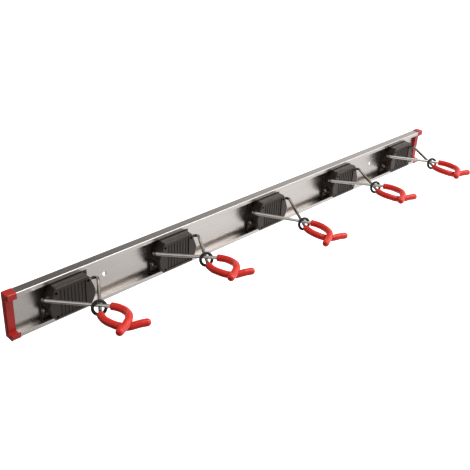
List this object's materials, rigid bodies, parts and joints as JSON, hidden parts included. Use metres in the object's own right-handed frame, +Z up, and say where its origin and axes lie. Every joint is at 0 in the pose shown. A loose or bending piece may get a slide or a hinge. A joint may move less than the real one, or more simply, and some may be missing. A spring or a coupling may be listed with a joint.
{
  "type": "clamp rack",
  "caption": "Wall-mounted aluminium rail with sliding self-clamping holders; each grips a tool handle between two crossing wire arms with dipped grips.",
  "frame": {"origin": "centre of the rail's back face, which goes against the wall", "axes": "+X along the rail, +Y into the wall, -Y out towards the user, +Z up"},
  "size_m": [1.026, 0.1819, 0.0772],
  "materials": {
    "rail_aluminium": "satin mill-finish extrusion",
    "cap_red": "satin moulded plastic",
    "housing_black": "satin moulded polyamide",
    "carriage_black": "smooth moulded sliding plastic",
    "screw_black": "black oxide",
    "wire_zinc": "bright zinc plate",
    "grip_red": "soft glossy dip",
    "ring_rubber": "matt moulded rubber"
  },
  "bodies": {
    "rail": {"rail_back": "rail_aluminium", "rail_upper_flange": "rail_aluminium", "rail_lower_flange": "rail_aluminium", "end_cap_left": "cap_red", "end_cap_right": "cap_red"},
    "holder_1": {"holder_1_carriage": "carriage_black", "holder_1_housing": "housing_black", "holder_1_screws": "screw_black"},
    "arm_right_1": {"holder_1_arm_right": "wire_zinc", "holder_1_grip_right": "grip_red"},
    "arm_left_1": {"holder_1_arm_left": "wire_zinc", "holder_1_grip_left": "grip_red"},
    "ring_1": {"holder_1_ring": "ring_rubber"},
    "holder_2": {"holder_2_carriage": "carriage_black", "holder_2_housing": "housing_black", "holder_2_screws": "screw_black"},
    "arm_right_2": {"holder_2_arm_right": "wire_zinc", "holder_2_grip_right": "grip_red"},
    "arm_left_2": {"holder_2_arm_left": "wire_zinc", "holder_2_grip_left": "grip_red"},
    "ring_2": {"holder_2_ring": "ring_rubber"},
    "holder_3": {"holder_3_carriage": "carriage_black", "holder_3_housing": "housing_black", "holder_3_screws": "screw_black"},
    "arm_right_3": {"holder_3_arm_right": "wire_zinc", "holder_3_grip_right": "grip_red"},
    "arm_left_3": {"holder_3_arm_left": "wire_zinc", "holder_3_grip_left": "grip_red"},
    "ring_3": {"holder_3_ring": "ring_rubber"},
    "holder_4": {"holder_4_carriage": "carriage_black", "holder_4_housing": "housing_black", "holder_4_screws": "screw_black"},
    "arm_right_4": {"holder_4_arm_right": "wire_zinc", "holder_4_grip_right": "grip_red"},
    "arm_left_4": {"holder_4_arm_left": "wire_zinc", "holder_4_grip_left": "grip_red"},
    "ring_4": {"holder_4_ring": "ring_rubber"},
    "holder_5": {"holder_5_carriage": "carriage_black", "holder_5_housing": "housing_black", "holder_5_screws": "screw_black"},
    "arm_right_5": {"holder_5_arm_right": "wire_zinc", "holder_5_grip_right": "grip_red"},
    "arm_left_5": {"holder_5_arm_left": "wire_zinc", "holder_5_grip_left": "grip_red"},
    "ring_5": {"holder_5_ring": "ring_rubber"}
  },
  "joints": [
    {"name": "holder_1_slide", "type": "slide", "parent": "rail", "child": "holder_1", "axis": [1, 0, 0], "range_m": [-0.027, 0.0487]},
    {"name": "holder_1_swing_right", "type": "hinge", "parent": "holder_1", "child": "arm_right_1", "pos_m": [-0.3615, -0.01325, 0.0143], "axis": [-0.9659, 0, -0.2588], "range_deg": [-9.6, 25.9]},
    {"name": "holder_1_swing_left", "type": "hinge", "parent": "holder_1", "child": "arm_left_1", "pos_m": [-0.4725, -0.01975, 0.0173], "axis": [-0.9659, 0, 0.2588], "range_deg": [-10.76, 28.53]},
    {"name": "holder_1_ring_slide", "type": "slide", "parent": "arm_left_1", "child": "ring_1", "axis": [-0.5616, 0.8228, -0.0868], "range_m": [-0.00633, 0.01657]},
    {"name": "holder_2_slide", "type": "slide", "parent": "rail", "child": "holder_2", "axis": [1, 0, 0], "range_m": [-0.0487, 0.0607]},
    {"name": "holder_2_swing_right", "type": "hinge", "parent": "holder_2", "child": "arm_right_2", "pos_m": [-0.16, -0.01325, 0.0143], "axis": [-0.9659, 0, -0.2588], "range_deg": [-9.9, 25.6]},
    {"name": "holder_2_swing_left", "type": "hinge", "parent": "holder_2", "child": "arm_left_2", "pos_m": [-0.271, -0.01975, 0.0173], "axis": [-0.9659, 0, 0.2588], "range_deg": [-11.09, 28.2]},
    {"name": "holder_2_ring_slide", "type": "slide", "parent": "arm_left_2", "child": "ring_2", "axis": [-0.5628, 0.8215, -0.0914], "range_m": [-0.00652, 0.01638]},
    {"name": "holder_3_slide", "type": "slide", "parent": "rail", "child": "holder_3", "axis": [1, 0, 0], "range_m": [-0.0607, 0.0545]},
    {"name": "holder_3_swing_right", "type": "hinge", "parent": "holder_3", "child": "arm_right_3", "pos_m": [0.0655, -0.01325, 0.0143], "axis": [-0.9659, 0, -0.2588], "range_deg": [-2.4, 33.1]},
    {"name": "holder_3_swing_left", "type": "hinge", "parent": "holder_3", "child": "arm_left_3", "pos_m": [-0.0455, -0.01975, 0.0173], "axis": [-0.9659, 0, 0.2588], "range_deg": [-2.92, 36.38]},
    {"name": "holder_3_ring_slide", "type": "slide", "parent": "arm_left_3", "child": "ring_3", "axis": [-0.532, 0.8464, 0.0238], "range_m": [-0.00181, 0.0211]},
    {"name": "holder_4_slide", "type": "slide", "parent": "rail", "child": "holder_4", "axis": [1, 0, 0], "range_m": [-0.0545, 0.0462]},
    {"name": "holder_4_swing_right", "type": "hinge", "parent": "holder_4", "child": "arm_right_4", "pos_m": [0.2785, -0.01325, 0.0143], "axis": [-0.9659, 0, -0.2588], "range_deg": [-6.2, 29.3]},
    {"name": "holder_4_swing_left", "type": "hinge", "parent": "holder_4", "child": "arm_left_4", "pos_m": [0.1675, -0.01975, 0.0173], "axis": [-0.9659, 0, 0.2588], "range_deg": [-7.06, 32.24]},
    {"name": "holder_4_ring_slide", "type": "slide", "parent": "arm_left_4", "child": "ring_4", "axis": [-0.5477, 0.8359, -0.035], "range_m": [-0.0042, 0.01871]},
    {"name": "holder_5_slide", "type": "slide", "parent": "rail", "child": "holder_5", "axis": [1, 0, 0], "range_m": [-0.0462, 0.0245]},
    {"name": "holder_5_swing_right", "type": "hinge", "parent": "holder_5", "child": "arm_right_5", "pos_m": [0.475, -0.01325, 0.0143], "axis": [-0.9659, 0, -0.2588], "range_deg": [-4.2, 31.3]},
    {"name": "holder_5_swing_left", "type": "hinge", "parent": "holder_5", "child": "arm_left_5", "pos_m": [0.364, -0.01975, 0.0173], "axis": [-0.9659, 0, 0.2588], "range_deg": [-4.88, 34.42]},
    {"name": "holder_5_ring_slide", "type": "slide", "parent": "arm_left_5", "child": "ring_5", "axis": [-0.5394, 0.842, -0.0042], "range_m": [-0.00294, 0.01997]}
  ],
  "couplings": [
    {"joint": "holder_1_swing_left", "follows": "holder_1_swing_right", "ratio": 1.09},
    {"joint": "holder_1_ring_slide", "follows": "holder_1_swing_right", "m_per_rad": 0.036},
    {"joint": "holder_2_swing_left", "follows": "holder_2_swing_right", "ratio": 1.09},
    {"joint": "holder_2_ring_slide", "follows": "holder_2_swing_right", "m_per_rad": 0.036},
    {"joint": "holder_3_swing_left", "follows": "holder_3_swing_right", "ratio": 1.09},
    {"joint": "holder_3_ring_slide", "follows": "holder_3_swing_right", "m_per_rad": 0.036},
    {"joint": "holder_4_swing_left", "follows": "holder_4_swing_right", "ratio": 1.09},
    {"joint": "holder_4_ring_slide", "follows": "holder_4_swing_right", "m_per_rad": 0.036},
    {"joint": "holder_5_swing_left", "follows": "holder_5_swing_right", "ratio": 1.09},
    {"joint": "holder_5_ring_slide", "follows": "holder_5_swing_right", "m_per_rad": 0.036}
  ]
}
